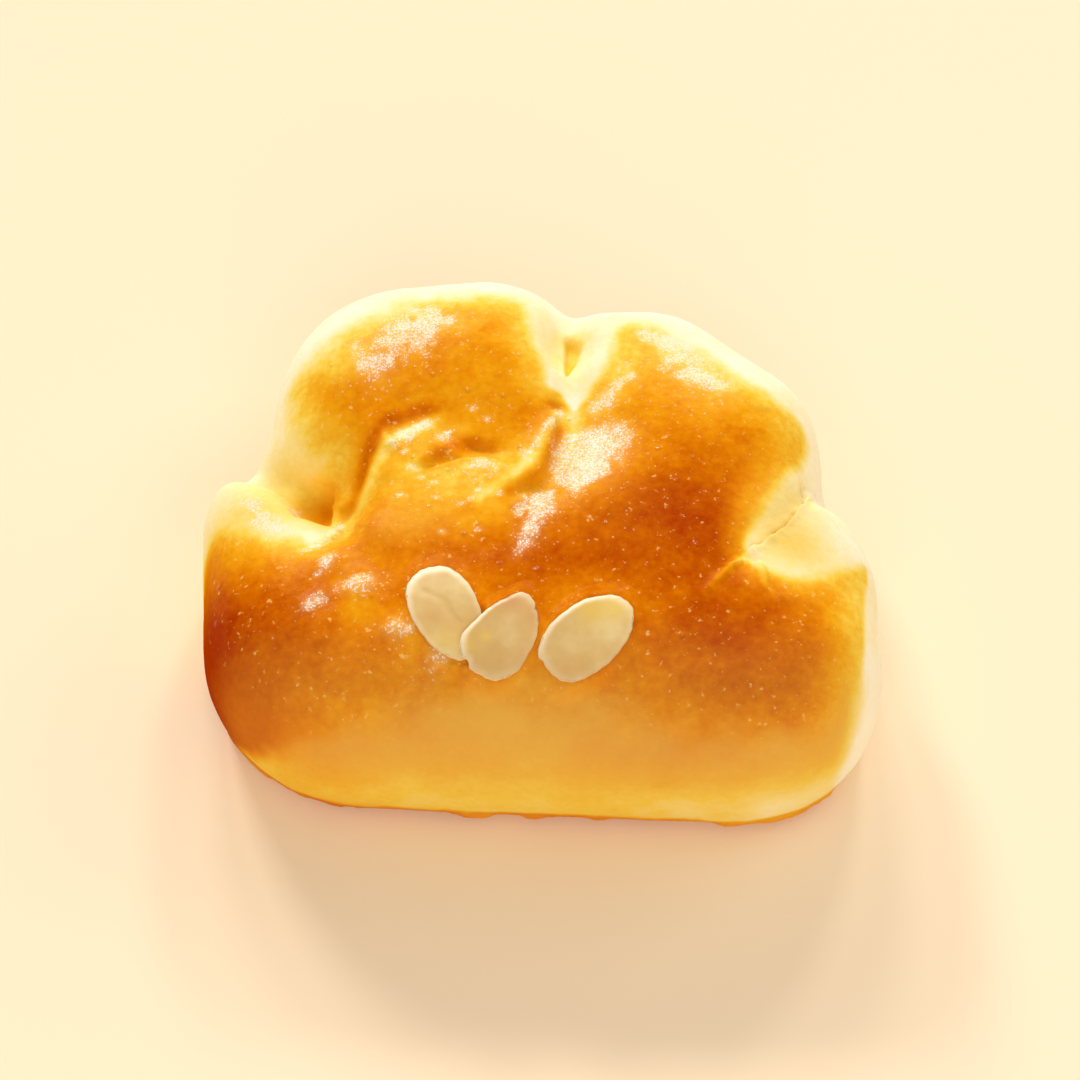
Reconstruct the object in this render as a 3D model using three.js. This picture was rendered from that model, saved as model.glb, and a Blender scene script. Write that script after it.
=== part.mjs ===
import * as THREE from "three";
import { mergeVertices } from "three/addons/utils/BufferGeometryUtils.js";

// Custard bun: a folded milk-bread bun with three cuts in its back rim and three almond slices on top.
// Millimetres, +Z up, +Y towards the cut rim, -Y towards the smooth fold.

// Driving dimensions of the risen dough
const LOBES = [
  { name: "fold", at: [1.8, -27.2], core: 32.6, turn: -2.5, half: [22, 21], top: 34.5 },
  { name: "belly", at: [6, -6], core: 8, turn: 0, half: [38, 34], top: 36.5 },
  { name: "left", at: [-43, -9], core: 11.5, turn: 96, half: [16, 15.8], top: 30.5 },
  { name: "right", at: [42, -18], core: 6, turn: 83, half: [16.5, 15.5], top: 31 },
  { name: "back left", at: [-17, 28.2], core: 7, turn: 7, half: [24.6, 27.2], top: 37 },
  { name: "back right", at: [22, 20], core: 9, turn: -42, half: [19.5, 24.7], top: 36 },
];
const BLEND = 3.2; // how softly neighbouring lobes run into each other
const LIFT = 13; // height at which the walls bulge out furthest
const TUCK = 0.9; // how much of the lower wall's curve is drawn in again towards the base
const FULLNESS = 2.3; // 2 is a plain ellipse, more is squarer in the shoulders
const BASE_ROUND = 3; // radius of the edge where the wall meets the flat base

// The middle sinks a little where the filling settled
const BASIN = { at: [-13, 2], half: [20, 15], depth: 2.2 };

// Blade cuts that opened while the dough rose: a V with its floor falling outwards
const CUTS = [
  { name: "left", inner: [-36, 0.5], outer: [-57, 18.5], floor: [22, 14], spread: 0.36 },
  { name: "back", inner: [4.7, 24], outer: [6.6, 56], floor: [31, 21], spread: 0.3 },
];
const CUT_LIP = 3.4; // rounding of the lips of a cut
const CUT_FLOOR = 2; // rounding of its floor
const PITS = [
  { name: "left eye", at: [-38, 2, 28], radius: 5 },
  { name: "back eye", at: [5.6, 32.5, 35], radius: 4.6 },
];
const PIT_LIP = 3;

// Creases (depth above zero) and raised folds (below zero) in the skin, each a path in plan
// with its depth at start, middle and end and its width to the left and to the right of the path
const CREASES = [
  {
    name: "lobe",
    path: [[-35, -5], [-32, 0], [-30, 6], [-27, 11], [-16, 15.5]],
    depth: [3, 2.8, 0.6],
    width: [2.6, 5],
  },
  {
    name: "middle",
    path: [[4.6, 21], [4.2, 12], [2.4, 4], [-2, -2.5], [-9, -5.5]],
    depth: [2.8, 2.4, 0.3],
    width: [4, 2.2],
  },
  {
    name: "fold",
    path: [[2, 12], [-1.4, 5.5], [-6, -0.5], [-12, -5]],
    depth: [-0.6, -1.4, -0.4],
    width: [2.2, 2.6],
  },
  {
    name: "dent",
    path: [[-20, 2], [-14, 4], [-9, 6], [-3.5, 5.6]],
    depth: [1.4, 1.9, 0.4],
    width: [2.8, 2.2],
  },
  {
    name: "right crack",
    path: [[51, 7], [45.5, 1], [42, -6.5], [35, -13.5]],
    depth: [2, 3, 2],
    width: [2.4, 2.4],
  },
  {
    name: "right pleat",
    path: [[34, -15], [31, -19], [28, -25]],
    depth: [1.4, 1.2, 0],
    width: [2, 2.4],
  },
  {
    name: "left crease",
    path: [[-36, -5.5], [-32, -9], [-26, -12]],
    depth: [2.2, 1.3, 0],
    width: [2.2, 2.6],
  },
  {
    name: "left pleat",
    path: [[-31, -14], [-35, -20], [-39, -28]],
    depth: [0.2, 1.1, 0],
    width: [2.2, 2.2],
  },
];
const CREASE_STEPS = 24;
const SKIN_FROM = 14; // creases fade out below this height
const SKIN_FULL = 22;

// Almond slices: middle in plan, direction of the narrow end, length and width, radius of the bend,
// sideways lean, narrowing towards the narrow end, bluntness of the wide and of the narrow end
const ALMONDS = [
  {
    name: "almond_left", at: [-15.5, -27.6], turn: -65, size: [18.8, 11],
    bend: 34, lean: 0, taper: 0.05, blunt: [2.5, 2.3],
  },
  {
    name: "almond_right", at: [7.8, -32.4], turn: 42, size: [18.8, 12],
    bend: 40, lean: 0, taper: 0.05, blunt: [2.6, 2.3],
  },
  {
    name: "almond_middle", at: [-6.3, -31.9], turn: -107, size: [17, 11.6],
    bend: 28, lean: -7, taper: 0.04, blunt: [2.3, 2.2],
  },
];
const ALMOND_THICK = 1.3;
const ALMOND_RINGS = [28, 9];
const CLEARANCE = 0.25; // gap left between pieces that touch

// How the mesh is made
const HEART = new THREE.Vector3(-2, -20, 13); // point inside the bun that all of the crust can be seen from
const MIDDLE = new THREE.Vector3(0, 0, 15); // middle of the egg that spreads the mesh evenly over the crust
const SPREAD = new THREE.Vector3(58, 52, 24); // half-sizes of that egg
const MESH_DETAIL = 23;
const REACH = 110;
const HALVINGS = 36;
const RELAX_ROUNDS = 24;
const RELAX_PULL = 0.4; // share of the way to its neighbours' middle that a corner moves in each round
const SETTLE_STEPS = 2;
const PROBE = 0.05; // step for measuring which way the skin faces
const FLATTEST = 0.25; // least slope that is trusted when a corner settles
const TINY = 1e-3;

// Two distances run into each other over a given length, the larger one winning
function softMax(a, b, length) {
  const overlap = Math.max(length - Math.abs(a - b), 0) / length;
  return Math.max(a, b) + (overlap * overlap * length) / 4;
}

// Signed distance to one lobe, negative inside
function lobeDistance(point, lobe) {
  const turn = THREE.MathUtils.degToRad(lobe.turn);
  const dx = point.x - lobe.at[0];
  const dy = point.y - lobe.at[1];
  const along = dx * Math.cos(turn) + dy * Math.sin(turn);
  const across = -dx * Math.sin(turn) + dy * Math.cos(turn);
  const x = along - THREE.MathUtils.clamp(along, -lobe.core, lobe.core);
  const rise = point.z - LIFT;
  const z = rise > 0 ? rise : rise * TUCK;
  const plan = Math.hypot(x / lobe.half[0], across / lobe.half[1]);
  const size = (plan ** FULLNESS + Math.abs(z / (lobe.top - LIFT)) ** FULLNESS) ** (1 / FULLNESS);
  return Math.hypot(x, across, z) * (1 - 1 / Math.max(size, TINY));
}

// How far a point lies inside the V of a cut, positive inside
function cutDepth(point, cut) {
  const line = new THREE.Vector2(cut.outer[0] - cut.inner[0], cut.outer[1] - cut.inner[1]);
  const length = line.length();
  line.normalize();
  const dx = point.x - cut.inner[0];
  const dy = point.y - cut.inner[1];
  const along = dx * line.x + dy * line.y;
  const across = Math.hypot(dy * line.x - dx * line.y, CUT_FLOOR) - CUT_FLOOR;
  const floor = THREE.MathUtils.lerp(cut.floor[0], cut.floor[1], along / length);
  const wall = ((point.z - floor) * cut.spread - across) / Math.hypot(1, cut.spread);
  return -softMax(-wall, -along, CUT_LIP);
}

// Value at a share of the way through start, middle and end
function depthAlong(values, share) {
  if (share < 0.5) return THREE.MathUtils.lerp(values[0], values[1], share * 2);
  return THREE.MathUtils.lerp(values[1], values[2], share * 2 - 1);
}

const creaseLines = CREASES.map((crease) => {
  const knots = crease.path.map(([x, y]) => new THREE.Vector2(x, y));
  return new THREE.SplineCurve(knots).getPoints(CREASE_STEPS);
});

// How far the skin is drawn in at a point by every crease and by the basin
function skinDepth(point) {
  const height = THREE.MathUtils.smoothstep(point.z, SKIN_FROM, SKIN_FULL);
  if (height === 0) return 0;
  const [basinX, basinY] = BASIN.at;
  const round = ((point.x - basinX) / BASIN.half[0]) ** 2 + ((point.y - basinY) / BASIN.half[1]) ** 2;
  let depth = BASIN.depth * Math.exp(-round);
  CREASES.forEach((crease, index) => {
    const line = creaseLines[index];
    let nearest = Infinity;
    let share = 0;
    let side = 0;
    for (let i = 0; i < CREASE_STEPS; i++) {
      const ex = line[i + 1].x - line[i].x;
      const ey = line[i + 1].y - line[i].y;
      const dx = point.x - line[i].x;
      const dy = point.y - line[i].y;
      const t = THREE.MathUtils.clamp((dx * ex + dy * ey) / (ex * ex + ey * ey), 0, 1);
      const gap = Math.hypot(dx - ex * t, dy - ey * t);
      if (gap < nearest) {
        nearest = gap;
        share = (i + t) / CREASE_STEPS;
        side = ex * dy - ey * dx > 0 ? 0 : 1;
      }
    }
    depth += depthAlong(crease.depth, share) * Math.exp(-((nearest / crease.width[side]) ** 2));
  });
  return depth * height;
}

// Signed distance to the whole dough with its creases and cuts, flat at the base
function doughDistance(point) {
  let sum = 0;
  for (const lobe of LOBES) sum += Math.exp(-lobeDistance(point, lobe) / BLEND);
  let distance = -BLEND * Math.log(sum) + skinDepth(point);
  for (const cut of CUTS) distance = softMax(distance, cutDepth(point, cut), CUT_LIP);
  for (const pit of PITS) {
    const away = Math.hypot(point.x - pit.at[0], point.y - pit.at[1], point.z - pit.at[2]);
    distance = softMax(distance, pit.radius - away, PIT_LIP);
  }
  return softMax(distance, -point.z, BASE_ROUND);
}

// The point where a straight line from a start inside the dough leaves it
function crustPoint(start, direction) {
  let inside = 0;
  let outside = REACH;
  const point = new THREE.Vector3();
  for (let step = 0; step < HALVINGS; step++) {
    const middle = (inside + outside) / 2;
    point.copy(start).addScaledVector(direction, middle);
    if (doughDistance(point) < 0) inside = middle;
    else outside = middle;
  }
  return point;
}

// Moves a point straight onto the skin
function settle(point) {
  const here = doughDistance(point);
  const probe = new THREE.Vector3();
  const slope = new THREE.Vector3();
  for (let axis = 0; axis < 3; axis++) {
    probe.copy(point).setComponent(axis, point.getComponent(axis) + PROBE);
    slope.setComponent(axis, (doughDistance(probe) - here) / PROBE);
  }
  point.addScaledVector(slope, -here / Math.max(slope.lengthSq(), FLATTEST));
}

// Evens out the mesh: every corner moves towards the middle of its neighbours and settles on the skin again
function relax(geometry) {
  const places = geometry.getAttribute("position");
  const corners = geometry.getIndex();
  const points = [];
  for (let i = 0; i < places.count; i++) points.push(new THREE.Vector3().fromBufferAttribute(places, i));
  const neighbours = points.map(() => new Set());
  for (let i = 0; i < corners.count; i += 3) {
    for (let side = 0; side < 3; side++) {
      neighbours[corners.getX(i + side)].add(corners.getX(i + ((side + 1) % 3)));
    }
  }
  for (let round = 0; round < RELAX_ROUNDS; round++) {
    const middles = neighbours.map((near) => {
      const middle = new THREE.Vector3();
      for (const i of near) middle.add(points[i]);
      return middle.divideScalar(near.size);
    });
    points.forEach((point, i) => {
      point.lerp(middles[i], RELAX_PULL);
      for (let step = 0; step < SETTLE_STEPS; step++) settle(point);
    });
  }
  points.forEach((point, i) => places.setXYZ(i, point.x, point.y, point.z));
}

// A unit ball of even triangles, drawn out until it meets the skin of the dough
function crustGeometry() {
  const ball = new THREE.IcosahedronGeometry(1, MESH_DETAIL);
  ball.deleteAttribute("normal");
  ball.deleteAttribute("uv");
  const geometry = mergeVertices(ball);
  const places = geometry.getAttribute("position");
  const direction = new THREE.Vector3();
  for (let i = 0; i < places.count; i++) {
    direction.fromBufferAttribute(places, i).multiply(SPREAD).add(MIDDLE).sub(HEART).normalize();
    const point = crustPoint(HEART, direction);
    places.setXYZ(i, point.x, point.y, point.z);
  }
  relax(geometry);
  geometry.computeVertexNormals();
  return geometry;
}

// Height of a mesh at a place in plan, or nothing where it isn't there
const caster = new THREE.Raycaster();
const DOWN = new THREE.Vector3(0, 0, -1);
function heightAt(mesh, x, y) {
  caster.set(new THREE.Vector3(x, y, REACH), DOWN);
  const hits = caster.intersectObject(mesh);
  return hits.length ? hits[0].point.z : -Infinity;
}

// A slice with a rounded rim: a flattened ball with one pointed end, bent lengthwise
function almondGeometry(almond) {
  const ball = new THREE.SphereGeometry(1, ALMOND_RINGS[0], ALMOND_RINGS[1]);
  ball.rotateX(Math.PI / 2);
  ball.deleteAttribute("normal");
  ball.deleteAttribute("uv");
  const geometry = mergeVertices(ball);
  const places = geometry.getAttribute("position");
  const [length, width] = almond.size;
  for (let i = 0; i < places.count; i++) {
    const ring = Math.hypot(places.getX(i), places.getY(i));
    const angle = Math.atan2(places.getY(i), places.getX(i));
    const spread = Math.sqrt(ring);
    const blunt = Math.cos(angle) < 0 ? almond.blunt[0] : almond.blunt[1];
    const rim = (Math.abs(Math.cos(angle)) ** blunt + Math.abs(Math.sin(angle)) ** blunt) ** (-1 / blunt);
    const x = (Math.cos(angle) * rim * spread * length) / 2;
    const taper = 1 - (almond.taper * 2 * x) / length;
    const y = (Math.sin(angle) * rim * spread * taper * width) / 2;
    const z = (places.getZ(i) * ALMOND_THICK) / 2 - (x * x) / (2 * almond.bend);
    places.setXYZ(i, x, y, z);
  }
  geometry.computeVertexNormals();
  return geometry;
}

// Lays a slice on the pieces below it: square to the skin, then lowered until it all but touches
function layAlmond(mesh, almond, below) {
  const [x, y] = almond.at;
  const step = almond.size[0] / 4;
  const rise = (dx, dy) => heightAt(below[0], x + dx, y + dy);
  const slopeX = (rise(step, 0) - rise(-step, 0)) / (2 * step);
  const slopeY = (rise(0, step) - rise(0, -step)) / (2 * step);
  const up = new THREE.Vector3(-slopeX, -slopeY, 1).normalize();
  mesh.geometry.rotateX(THREE.MathUtils.degToRad(almond.lean));
  mesh.geometry.rotateZ(THREE.MathUtils.degToRad(almond.turn));
  mesh.geometry.applyQuaternion(new THREE.Quaternion().setFromUnitVectors(new THREE.Vector3(0, 0, 1), up));
  mesh.geometry.translate(x, y, 0);
  const places = mesh.geometry.getAttribute("position");
  let lift = -Infinity;
  for (let i = 0; i < places.count; i++) {
    for (const piece of below) {
      lift = Math.max(lift, heightAt(piece, places.getX(i), places.getY(i)) - places.getZ(i));
    }
  }
  mesh.geometry.translate(0, 0, lift + CLEARANCE);
}

const bun = new THREE.Group();
const browned = new THREE.MeshStandardMaterial({ color: 0xd98a1c, roughness: 0.4, metalness: 0 });
const crust = new THREE.Mesh(crustGeometry(), browned);
crust.name = "crust";
bun.add(crust);
const ivory = new THREE.MeshStandardMaterial({ color: 0xe6cf9c, roughness: 0.55, metalness: 0 });
for (const almond of ALMONDS) {
  const slice = new THREE.Mesh(almondGeometry(almond), ivory.clone());
  slice.name = almond.name;
  layAlmond(slice, almond, bun.children);
  bun.add(slice);
}

// The origin is the middle of the whole bun's footprint, on the surface it rests on
const box = new THREE.Box3().setFromObject(bun);
const foot = box.getCenter(new THREE.Vector3()).setZ(box.min.z);
for (const piece of bun.children) piece.geometry.translate(-foot.x, -foot.y, -foot.z);
export default bun;
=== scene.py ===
# %% [markdown]
# # A custard bun
# A folded milk-bread bun, egg-washed and baked, with three slices of almond on its front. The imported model
# gives the bun's true form in metres. This lesson keeps that form, gives the skin its folds, pits and
# wrinkles, browns and glazes it, and cuts the almonds afresh.

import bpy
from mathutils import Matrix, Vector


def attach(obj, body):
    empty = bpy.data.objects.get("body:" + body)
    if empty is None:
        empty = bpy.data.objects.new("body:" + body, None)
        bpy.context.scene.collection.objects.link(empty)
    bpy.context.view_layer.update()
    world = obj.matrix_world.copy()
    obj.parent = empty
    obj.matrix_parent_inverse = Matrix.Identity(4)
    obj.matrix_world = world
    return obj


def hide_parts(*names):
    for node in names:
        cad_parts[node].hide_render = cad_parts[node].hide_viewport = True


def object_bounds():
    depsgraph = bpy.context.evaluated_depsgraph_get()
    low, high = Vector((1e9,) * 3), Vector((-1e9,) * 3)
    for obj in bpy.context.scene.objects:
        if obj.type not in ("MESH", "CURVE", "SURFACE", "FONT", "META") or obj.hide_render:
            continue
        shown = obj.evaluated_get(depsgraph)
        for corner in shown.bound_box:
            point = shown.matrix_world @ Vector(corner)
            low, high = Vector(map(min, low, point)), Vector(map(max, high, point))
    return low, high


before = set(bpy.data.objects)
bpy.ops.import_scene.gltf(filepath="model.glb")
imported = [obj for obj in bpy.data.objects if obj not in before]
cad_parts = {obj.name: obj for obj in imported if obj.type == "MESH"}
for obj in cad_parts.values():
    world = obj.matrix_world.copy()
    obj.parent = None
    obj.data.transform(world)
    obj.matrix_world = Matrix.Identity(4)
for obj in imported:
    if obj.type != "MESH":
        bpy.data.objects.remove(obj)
cad_box = [list(corner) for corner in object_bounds()]

import math

import bmesh
import bpy
import numpy as np
from mathutils import Vector

MM = 0.001
print("nodes", sorted(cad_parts), "box", cad_box)

# %% [markdown]
# ## Camera
# The bun is seen from in front and well above, so that the top and the front fold both show. A long lens
# from arm's length keeps its proportions calm. The lens and the tilt decide the whole likeness, so they
# come before anything else.

# %% Camera
TILT = math.radians(54)
AWAY = 450 * MM
AIM = Vector((0.56, -3.2, 18.0)) * MM
FOCAL_LENGTH = 85
SENSOR_WIDTH = 36


def place(name, data):
    """A new object at the origin, linked to the scene."""
    thing = bpy.data.objects.new(name, data)
    bpy.context.scene.collection.objects.link(thing)
    return thing


lens = bpy.data.cameras.new("camera")
lens.lens = FOCAL_LENGTH
lens.sensor_width = SENSOR_WIDTH
camera = place("camera", lens)
camera.location = AIM + AWAY * Vector((0, -math.cos(TILT), math.sin(TILT)))
camera.rotation_euler = (math.pi / 2 - TILT, 0, 0)
bpy.context.scene.camera = camera
print("camera at", tuple(round(v, 4) for v in camera.location))

# %% [markdown]
# ## Colours and nodes
# Colours are written as the hex values a painter would pick from the screen. Blender works with linear
# light, so one function turns them over. Another adds a node with its settings and its links, which keeps
# every material readable as a list.

# %% Colour and node helpers
def linear(code):
    """Linear RGBA from an sRGB hex value."""
    parts = [int(code[i:i + 2], 16) / 255 for i in (1, 3, 5)]
    return [c / 12.92 if c <= 0.04045 else ((c + 0.055) / 1.055) ** 2.4 for c in parts] + [1.0]


def add_node(tree, kind, settings=None, inputs=None, links=None):
    """Adds a node, sets its properties and socket values, and links sockets from other nodes."""
    node = tree.nodes.new("ShaderNode" + kind)
    for name, value in (settings or {}).items():
        setattr(node, name, value)
    for name, value in (inputs or {}).items():
        node.inputs[name].default_value = value
    for name, (other, socket) in (links or {}).items():
        tree.links.new(other.outputs[socket], node.inputs[name])
    return node


def new_material(name, inputs):
    """A material with its output and a Principled shader, whose constant sockets are given."""
    material = bpy.data.materials.new(name)
    material.use_nodes = True
    material.node_tree.nodes.clear()
    tree = material.node_tree
    shader = add_node(tree, "BsdfPrincipled", inputs=inputs)
    add_node(tree, "OutputMaterial", links={"Surface": (shader, "BSDF")})
    return material, tree, shader


def set_stops(ramp, stops):
    """Fills a colour ramp with pairs of a position and an sRGB hex value."""
    for _ in stops[2:]:
        ramp.color_ramp.elements.new(0.5)
    for stop, (at, code) in zip(ramp.color_ramp.elements, stops):
        stop.position = at
        stop.color = linear(code)


# %% [markdown]
# ## Floor
# The bun lies on warm white paper, wide enough to show no edge. One square of a grid is all it needs, a
# hair below the base so that the two don't touch. Matt paper mirrors nothing: it shows the soft shadow and
# throws a warm light back up.

# %% Floor
FLOOR_SIZE = 3.0
FLOOR_DROP = 0.2 * MM
floor_mesh = bpy.data.meshes.new("floor")
bm = bmesh.new()
bmesh.ops.create_grid(bm, x_segments=1, y_segments=1, size=FLOOR_SIZE)
bmesh.ops.translate(bm, verts=bm.verts, vec=(0, 0, -FLOOR_DROP))
bm.to_mesh(floor_mesh)
bm.free()
floor = place("floor", floor_mesh)
paper = new_material("matt warm white paper", {
    "Base Color": linear("#fdeacf"), "Roughness": 0.9, "Specular IOR Level": 0.1})[0]
floor_mesh.materials.append(paper)
print("floor faces", len(floor_mesh.polygons))

# %% [markdown]
# ## Light
# Three small bright windows behind the bun light its pale rim, and the glaze mirrors them. Soft lights from
# the right, the left and the front keep the walls and the front fold from going dark. The glaze doesn't
# mirror these or the room, because that would lay a haze over the brown.

# %% Light
LIGHTS = [
    # name, azimuth from the front, height in degrees, distance and size in metres, watts, tint, mirrored
    ("window", 204, 29, 6.0, (1.08, 0.84), 150, "#fffaf2", True),
    ("middle window", 186, 31, 6.0, (1.04, 0.72), 78, "#fffaf2", True),
    ("far window", 166, 31, 6.0, (0.84, 0.72), 72, "#fffaf2", True),
    ("side window", 118, 30, 1.5, (0.8, 0.6), 3.5, "#fffaf2", False),
    ("left fill", 275, 28, 1.5, (0.8, 0.6), 1.3, "#fffaf2", False),
    ("front fill", 5, 34, 1.6, (1.4, 1.0), 12, "#fff6ea", False),
]
ROOM_TINT = "#fff4e2"
ROOM_STRENGTH = 0.43


def add_window(name, azimuth, height, away, size, watts, tint, mirrored):
    """A soft rectangular light that faces the bun."""
    light = bpy.data.lights.new(name, "AREA")
    light.shape = "RECTANGLE"
    light.size, light.size_y = size
    light.energy = watts
    light.color = linear(tint)[:3]
    turn, lift = math.radians(azimuth), math.radians(height)
    level = math.cos(lift)
    direction = Vector((math.sin(turn) * level, -math.cos(turn) * level, math.sin(lift)))
    lamp = place(name, light)
    lamp.location = AIM + direction * away
    lamp.rotation_euler = direction.to_track_quat("Z", "Y").to_euler()
    lamp.visible_glossy = mirrored


for row in LIGHTS:
    add_window(*row)
world = bpy.data.worlds.new("room")
world.use_nodes = True
world.node_tree.nodes["Background"].inputs["Color"].default_value = linear(ROOM_TINT)
world.node_tree.nodes["Background"].inputs["Strength"].default_value = ROOM_STRENGTH
world.cycles_visibility.glossy = False
bpy.context.scene.world = world
bpy.context.scene.view_settings.view_transform = "Standard"
print("lights", [row[0] for row in LIGHTS])

# %% [markdown]
# ## The crust's mesh
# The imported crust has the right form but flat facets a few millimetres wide. A subdivision surface would
# spend its faces evenly. Here a merged copy has its edges split only where detail is to come, with a little
# smoothing after each split. The folds get the finest mesh, and the underside stays as it is.

# %% Merge and refine
BASE_TOP = 0.1
UPPER_SKIN = 16
FRONT_SKIN = 5
FOLDED = [
    # lowest and highest corners in plan
    ((-43, -15), (13, 16)),  # the wrinkled middle
    ((-1, 10), (12, 36)),  # the back cut
    ((33, -24), (49, 3)),  # the right cut
    ((28, -28), (40, -17)),  # the pleats beside it
    ((-22, -44), (20, -20)),  # the seats of the slices
]


def above_base(spot):
    return spot.z > BASE_TOP


def seen_skin(spot):
    return spot.z > UPPER_SKIN or (above_base(spot) and spot.y < FRONT_SKIN)


def folded_skin(spot):
    boxes = [low[0] < spot.x < high[0] and low[1] < spot.y < high[1] for low, high in FOLDED]
    return spot.z > UPPER_SKIN and any(boxes)


def refine(bm, wanted):
    """Splits every edge of the faces that are wanted, and leaves triangles only."""
    edges = {edge for face in bm.faces if wanted(face.calc_center_median() / MM) for edge in face.edges}
    bmesh.ops.subdivide_edges(bm, edges=list(edges), cuts=1, use_grid_fill=True, use_single_edge=True)
    bmesh.ops.triangulate(bm, faces=[face for face in bm.faces if len(face.verts) > 3])


def soothe(bm, rounds):
    """Smooths everything above the flat base."""
    free = [vert for vert in bm.verts if vert.co.z > BASE_TOP / 2 * MM]
    for _ in range(rounds):
        bmesh.ops.smooth_vert(bm, verts=free, factor=0.5, use_axis_x=True, use_axis_y=True, use_axis_z=True)


crust_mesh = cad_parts["crust"].data.copy()
bm = bmesh.new()
bm.from_mesh(crust_mesh)
bmesh.ops.remove_doubles(bm, verts=bm.verts, dist=0.001 * MM)
for wanted, rounds in ((above_base, 3), (seen_skin, 4), (folded_skin, 4)):
    refine(bm, wanted)
    soothe(bm, rounds)
bmesh.ops.recalc_face_normals(bm, faces=bm.faces)
bm.to_mesh(crust_mesh)
bm.free()
crust_mesh.materials.clear()
crust = place("baked_crust", crust_mesh)
print("crust triangles", len(crust_mesh.polygons))

# %% [markdown]
# ## Points and lines
# Moving a hundred thousand points one by one is slow, so the mesh is read into arrays, in millimetres, and
# worked on as a whole. Every fold follows a smooth line of a few knots, seen in plan. These helpers draw
# such a line and measure how far each point lies from it, on which side, and how far along.

# %% Points and lines
def points_of(mesh):
    """Points and normals of a mesh, in millimetres."""
    count = len(mesh.vertices)
    places, facing = np.empty(count * 3, np.float32), np.empty(count * 3, np.float32)
    mesh.vertices.foreach_get("co", places)
    mesh.vertex_normals.foreach_get("vector", facing)
    return places.reshape(-1, 3).astype(float) / MM, facing.reshape(-1, 3).astype(float)


def put_points(mesh, places):
    mesh.vertices.foreach_set("co", (places * MM).astype(np.float32).ravel())
    mesh.update()


def keep(mesh, numbers):
    """Keeps named numbers per point for the material to read."""
    for name, values in numbers.items():
        mesh.attributes.new(name, "FLOAT", "POINT").data.foreach_set("value", values.astype(np.float32))


def smooth_line(knots, closed=False, steps=8):
    """A Catmull-Rom line through a few knots; more columns than x and y are carried along."""
    knots = np.array(knots, float)
    if closed:
        ends = np.vstack([knots[-1:], knots, knots[:2]])
    else:
        ends = np.vstack([2 * knots[0] - knots[1], knots, 2 * knots[-1] - knots[-2]])
    t = np.linspace(0, 1, steps, endpoint=False)[:, None]
    runs = []
    for a, b, c, d in zip(ends, ends[1:], ends[2:], ends[3:]):
        bend = 2 * a - 5 * b + 4 * c - d
        runs.append(0.5 * (2 * b + (c - a) * t + bend * t**2 + (3 * b - a - 3 * c + d) * t**3))
    return np.vstack(runs + [ends[-2:-1]])


def along_line(plan, line):
    """Distance to a line, positive on its left, and the place along it as a number of its points."""
    best, side, way = np.full(len(plan), 1e9), np.ones(len(plan)), np.zeros(len(plan))
    for i, (a, b) in enumerate(zip(line[:, :2], line[1:, :2])):
        run = b - a
        off = plan - a
        t = np.clip(off @ run / max(run @ run, 1e-12), 0, 1)
        gap = np.hypot(*(off - t[:, None] * run).T)
        near = gap < best
        best[near] = gap[near]
        side[near] = run[0] * off[near, 1] - run[1] * off[near, 0]
        way[near] = i + t[near]
    return np.where(side < 0, -best, best), way


# %% [markdown]
# ## Steps and lumps
# Nothing on a bun begins abruptly, so every change is a smooth step. Its unevenness is random, but it comes
# from a table with a fixed seed, so that the bun is the same each time.

# %% Steps and lumps
TABLE = 64


def step(low, high, value):
    """A smooth step from 0 at low to 1 at high."""
    t = np.clip((value - low) / (high - low), 0, 1)
    return t * t * (3 - 2 * t)


def lumps(places, size, seed):
    """Smooth random unevenness between -1 and 1 with lumps of a size in millimetres."""
    table = np.random.default_rng(seed).uniform(-1, 1, (TABLE, TABLE, TABLE))
    grid = places / size
    base = np.floor(grid).astype(int)
    part = grid - base
    part = part * part * (3 - 2 * part)
    total = np.zeros(len(places))
    for corner in np.ndindex(2, 2, 2):
        weight = np.prod(np.where(np.array(corner) == 1, part, 1 - part), axis=1)
        at = (base + corner) % TABLE
        total += weight * table[at[:, 0], at[:, 1], at[:, 2]]
    return total


def shifts(places, size, seed):
    """Random shifts in plan, from two tables that follow each other."""
    return np.stack([lumps(places, size, seed), lumps(places, size, seed + 1)], 1)


# %% [markdown]
# ## Folds and hollows
# As the bun cools its filling settles and the skin wrinkles. Four shapes are enough: a ridge, or a crease
# with a negative height; an overlap, where one side of a line stands higher than the other; a hollow with
# edges of different steepness; and a soft round mound. Each gives a rise, and the skin moves along its
# normal by the sum of them.

# %% Four shapes
def close_to(plan, line, reach):
    """Points in a box around a line."""
    return np.flatnonzero(((plan > line.min(0) - reach) & (plan < line.max(0) + reach)).all(1))


def near_line(plan, knots, reach):
    """Points near a line, their distance to it and their share of the way along it."""
    line = smooth_line(knots)
    close = close_to(plan, line, reach)
    across, way = along_line(plan[close], line)
    return close, across, way / (len(line) - 1)


def fading(share, fade):
    return step(0, fade[0], share) * step(0, fade[1], 1 - share)


def ridge(plan, knots, height, widths, fade=(0.3, 0.3)):
    """A ridge with a width to the left and to the right, fading over a share of its ends."""
    rise = np.zeros(len(plan))
    close, across, share = near_line(plan, knots, 4 * max(widths))
    width = np.where(across > 0, widths[0], widths[1])
    rise[close] = height * np.exp(-((across / width) ** 2)) * fading(share, fade)
    return rise


def overlap(plan, knots, high, low, width, reach, fade):
    """A step up to the left of a line: its height, the dip at its foot, its width, and the reach of both."""
    rise = np.zeros(len(plan))
    close, across, share = near_line(plan, knots, 3 * max(reach) + width)
    climb = step(0, width, across)
    crown = high * climb * np.exp(-((np.maximum(across - width, 0) / reach[0]) ** 1.5))
    foot = -low * (1 - climb) * np.exp(-np.maximum(-across, 0) / reach[1])
    rise[close] = (crown + foot) * fading(share, fade)
    return rise


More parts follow.
